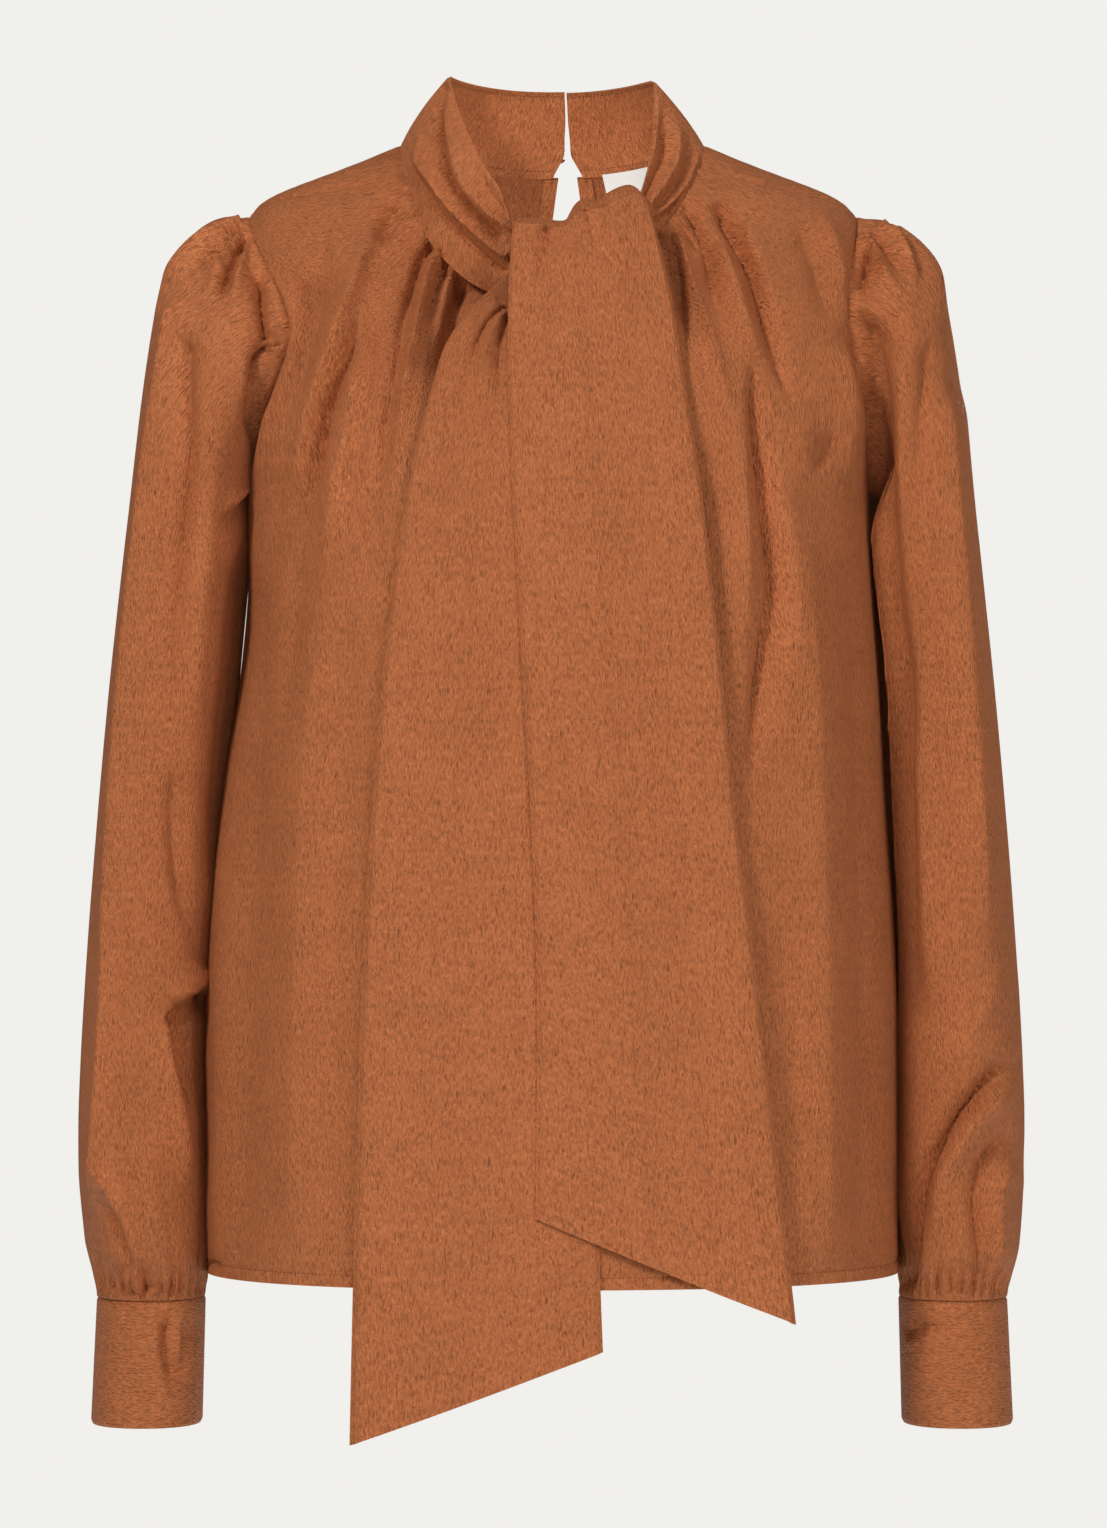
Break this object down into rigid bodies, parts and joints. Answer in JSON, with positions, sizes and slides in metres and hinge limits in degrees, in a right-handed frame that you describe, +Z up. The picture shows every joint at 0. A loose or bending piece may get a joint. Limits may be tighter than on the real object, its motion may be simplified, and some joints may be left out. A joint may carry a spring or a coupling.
{
  "type": "tie-neck blouse",
  "caption": "Long-sleeved blouse in crinkled satin with a standing collar that turns into a long tie, gathered front, puffed sleeve heads and deep cuffs, standing open as worn.",
  "frame": {"origin": "middle of the neck opening, level with the place where the collar meets the shoulders", "axes": "+Z up, the front of the blouse faces -Y, +X runs to the right of the picture, which is the wearer's left"},
  "size_m": [0.5278, 0.2286, 0.7542],
  "materials": {
    "crepe": "copper polyester satin crepe with a soft crinkle and a low sheen",
    "covered_button": "domed buttons covered in the blouse's own cloth",
    "label_tape": "blank white woven tape"
  },
  "bodies": {
    "root": {"front": "crepe", "back": "crepe", "sleeve_left": "crepe", "sleeve_right": "crepe", "cuff_left": "crepe", "cuff_right": "crepe", "collar_left": "crepe", "collar_right": "crepe", "tie_under_end": "crepe", "tie_over_end": "crepe", "keyhole_binding": "crepe", "neck_loop_1": "crepe", "neck_loop_2": "crepe", "neck_button_1": "covered_button", "neck_button_2": "covered_button", "cuff_button_left_1": "covered_button", "cuff_button_left_2": "covered_button", "cuff_button_right_1": "covered_button", "cuff_button_right_2": "covered_button", "label": "label_tape"}
  },
  "joints": []
}
